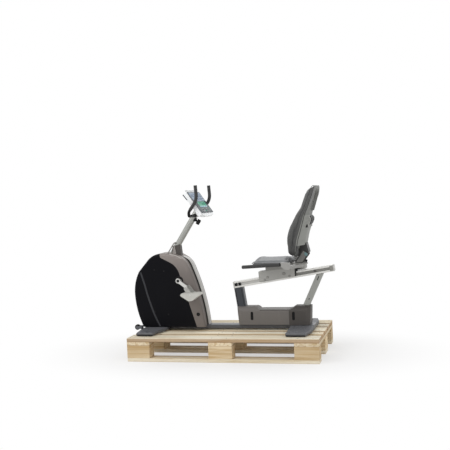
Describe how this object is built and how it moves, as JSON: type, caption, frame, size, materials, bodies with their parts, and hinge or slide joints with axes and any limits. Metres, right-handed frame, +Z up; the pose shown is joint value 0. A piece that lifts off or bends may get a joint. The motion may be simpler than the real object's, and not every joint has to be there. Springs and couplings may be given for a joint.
{
  "type": "recumbent exercise bike on a pallet",
  "caption": "Stationary recumbent exercise bike on a timber pallet: covered front housing with crank and strapped pedals, console mast, sloping rail with sliding seat and reclining backrest.",
  "frame": {"origin": "middle of the whole outline at the underside of the pallet", "axes": "-X is the front, where the pedals are, +X is the seat end, -Y is the rider's left, +Z is up"},
  "size_m": [1.5743, 0.8, 1.2987],
  "materials": {
    "pallet_pine": "rough sawn softwood",
    "pallet_block_wood": "rough sawn softwood, end grain",
    "dark_steel": "satin paint",
    "foot_plastic": "satin moulded",
    "pad_rubber": "matte",
    "wheel_plastic": "matte",
    "cover_dark": "semi gloss moulded",
    "band_grey": "satin moulded",
    "strip_silver": "silver satin",
    "flywheel_iron": "machined",
    "bright_steel": "brushed",
    "handle_alloy": "cast satin",
    "mast_silver": "silver satin paint",
    "boot_plastic": "matte",
    "pedal_plastic": "satin moulded",
    "strap_rubber": "matte",
    "grip_foam": "matte foam",
    "black_steel": "satin black",
    "black_plastic": "matte black",
    "console_silver": "silver satin",
    "console_overlay": "printed film",
    "rack_plastic": "satin",
    "rail_aluminium": "anodised",
    "shroud_plastic": "satin moulded",
    "shroud_dark": "satin moulded",
    "carriage_steel": "satin grey",
    "roller_plastic": "smooth",
    "seat_vinyl": "matte vinyl",
    "back_vinyl": "matte vinyl",
    "shell_plastic": "satin moulded"
  },
  "bodies": {
    "frame": {"base_beam": "dark_steel", "clamp_knob": "black_plastic", "console_body": "console_silver", "console_face": "console_overlay", "console_rack": "rack_plastic", "crank_bearing": "bright_steel", "flywheel": "flywheel_iron", "foot_pads": "pad_rubber", "front_cross_member": "dark_steel", "front_feet": "foot_plastic", "front_hoop": "bright_steel", "front_post": "dark_steel", "handlebar_clamp": "black_steel", "housing_front_cover": "cover_dark", "mast": "mast_silver", "mast_boot": "boot_plastic", "pallet_blocks": "pallet_block_wood", "pallet_bottom_boards": "pallet_pine", "pallet_cross_boards": "pallet_pine", "pallet_deck_boards": "pallet_pine", "power_inlet": "black_plastic", "rail": "rail_aluminium", "rail_end_caps": "rail_aluminium", "rear_band_left": "band_grey", "rear_band_right": "band_grey", "rear_cross_member": "dark_steel", "rear_feet": "foot_plastic", "rear_strut": "mast_silver", "shroud_front": "shroud_plastic", "shroud_rear": "shroud_dark", "side_cover_left": "cover_dark", "side_cover_right": "cover_dark", "spine_strip": "strip_silver", "wheel_brackets": "dark_steel"},
    "crank": {"crank_axle": "bright_steel", "crank_arm_left": "bright_steel", "crank_arm_right": "bright_steel"},
    "left_pedal": {"pedal_left": "pedal_plastic", "pedal_strap_left": "strap_rubber"},
    "right_pedal": {"pedal_right": "pedal_plastic", "pedal_strap_right": "strap_rubber"},
    "handlebar": {"handlebar_tube": "black_steel", "handlebar_grips": "grip_foam"},
    "left_wheel": {"transport_wheel_left": "wheel_plastic"},
    "right_wheel": {"transport_wheel_right": "wheel_plastic"},
    "seat": {"carriage": "carriage_steel", "carriage_rollers": "roller_plastic", "seat_frame": "handle_alloy", "seat_cushion": "seat_vinyl", "side_handles": "handle_alloy", "side_grips": "grip_foam", "recline_bracket": "carriage_steel", "recline_knob": "black_plastic"},
    "backrest": {"back_arm": "black_steel", "back_shell": "shell_plastic", "back_cushion": "back_vinyl"}
  },
  "joints": [
    {"name": "crank_spin", "type": "hinge", "parent": "frame", "child": "crank", "pos_m": [-0.4109, 0, 0.569], "axis": [0, 1, 0], "continuous": true},
    {"name": "left_pedal_spin", "type": "hinge", "parent": "crank", "child": "left_pedal", "pos_m": [-0.28312, -0.19, 0.47271], "axis": [0, 1, 0], "continuous": true},
    {"name": "right_pedal_spin", "type": "hinge", "parent": "crank", "child": "right_pedal", "pos_m": [-0.53868, 0.19, 0.66529], "axis": [0, 1, 0], "continuous": true},
    {"name": "handlebar_tilt", "type": "hinge", "parent": "frame", "child": "handlebar", "pos_m": [-0.2819, 0, 1.066], "axis": [0, 1, 0], "range_deg": [-12, 12]},
    {"name": "seat_slide", "type": "slide", "parent": "frame", "child": "seat", "axis": [0.9885, 0, 0.1513], "range_m": [-0.1, 0.24]},
    {"name": "backrest_recline", "type": "hinge", "parent": "seat", "child": "backrest", "pos_m": [0.5501, 0, 0.736], "axis": [0, 1, 0], "range_deg": [0, 15]},
    {"name": "left_wheel_spin", "type": "hinge", "parent": "frame", "child": "left_wheel", "pos_m": [-0.7499, -0.15, 0.216], "axis": [0, 1, 0], "continuous": true},
    {"name": "right_wheel_spin", "type": "hinge", "parent": "frame", "child": "right_wheel", "pos_m": [-0.7499, 0.15, 0.216], "axis": [0, 1, 0], "continuous": true}
  ]
}
